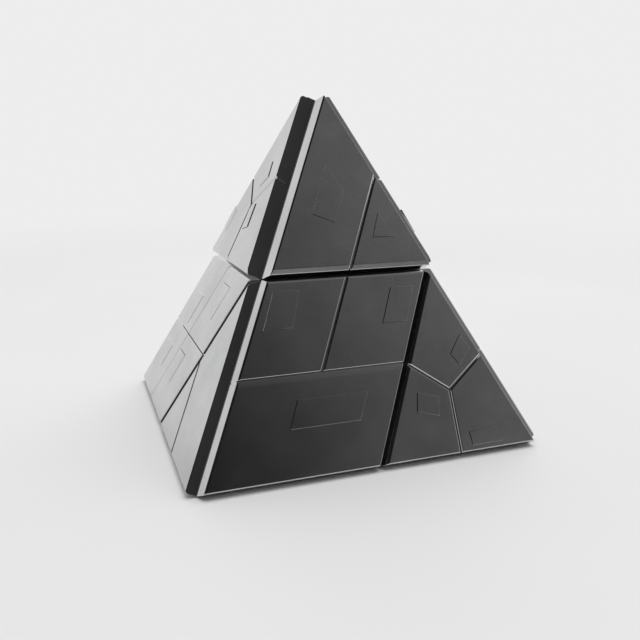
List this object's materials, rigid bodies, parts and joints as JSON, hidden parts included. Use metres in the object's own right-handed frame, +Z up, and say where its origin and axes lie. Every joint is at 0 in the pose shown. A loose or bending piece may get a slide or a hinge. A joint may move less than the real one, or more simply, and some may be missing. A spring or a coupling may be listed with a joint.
{
  "type": "pyramid twisty puzzle",
  "caption": "Faceted dark pyramid twisty puzzle; twisting the top pyramid drives racks that slide the corner segments of the lower half apart in a pinwheel.",
  "frame": {"origin": "centre of the square base, on the surface that the puzzle stands on", "axes": "+Z up to the apex, which is also the twist axis; the front face looks along -Y; +X to the right"},
  "size_m": [0.105, 0.105, 0.1011],
  "materials": {
    "plate": "satin metal that mirrors its surroundings",
    "shell": "matte black",
    "hub": "matte dark grey",
    "rubber": "matte black",
    "nylon": "natural, slightly waxy",
    "steel": "bright"
  },
  "bodies": {
    "base": {"anti_slip_pad": "rubber", "base_plate": "hub", "core_hub": "hub", "hub_screw_1": "steel", "hub_screw_2": "steel", "hub_screw_3": "steel", "hub_screw_4": "steel", "lower_thrust_washer": "nylon"},
    "top": {"top_shell": "shell", "top_base_cover": "hub", "drive_shaft": "steel", "drive_pinion": "nylon", "retaining_ring": "steel", "upper_thrust_washer": "nylon", "tension_washer": "steel", "tension_spring": "steel", "tension_screw": "steel", "top_plate_front": "plate", "top_plate_right": "plate", "top_plate_back": "plate", "top_plate_left": "plate"},
    "segment_front_left": {"segment_shell_front_left": "shell", "lozenge_plate_front_left": "plate", "wedge_plate_front_left": "plate", "rack_front_left": "nylon", "rack_screw_front_left": "steel"},
    "segment_front_right": {"segment_shell_front_right": "shell", "lozenge_plate_front_right": "plate", "wedge_plate_front_right": "plate", "rack_front_right": "nylon", "rack_screw_front_right": "steel"},
    "segment_back_right": {"segment_shell_back_right": "shell", "lozenge_plate_back_right": "plate", "wedge_plate_back_right": "plate", "rack_back_right": "nylon", "rack_screw_back_right": "steel"},
    "segment_back_left": {"segment_shell_back_left": "shell", "lozenge_plate_back_left": "plate", "wedge_plate_back_left": "plate", "rack_back_left": "nylon", "rack_screw_back_left": "steel"}
  },
  "joints": [
    {"name": "top_twist", "type": "hinge", "parent": "base", "child": "top", "pos_m": [0, 0, 0.05], "axis": [0, 0, -1], "range_deg": [0, 90]},
    {"name": "front_left_slide", "type": "slide", "parent": "base", "child": "segment_front_left", "axis": [-1, 0, 0], "range_m": [0, 0.0126]},
    {"name": "front_right_slide", "type": "slide", "parent": "base", "child": "segment_front_right", "axis": [0, -1, 0], "range_m": [0, 0.0126]},
    {"name": "back_right_slide", "type": "slide", "parent": "base", "child": "segment_back_right", "axis": [1, 0, 0], "range_m": [0, 0.0126]},
    {"name": "back_left_slide", "type": "slide", "parent": "base", "child": "segment_back_left", "axis": [0, 1, 0], "range_m": [0, 0.0126]}
  ],
  "couplings": [
    {"joint": "front_left_slide", "follows": "top_twist", "m_per_rad": 0.008},
    {"joint": "front_right_slide", "follows": "top_twist", "m_per_rad": 0.008},
    {"joint": "back_right_slide", "follows": "top_twist", "m_per_rad": 0.008},
    {"joint": "back_left_slide", "follows": "top_twist", "m_per_rad": 0.008}
  ]
}
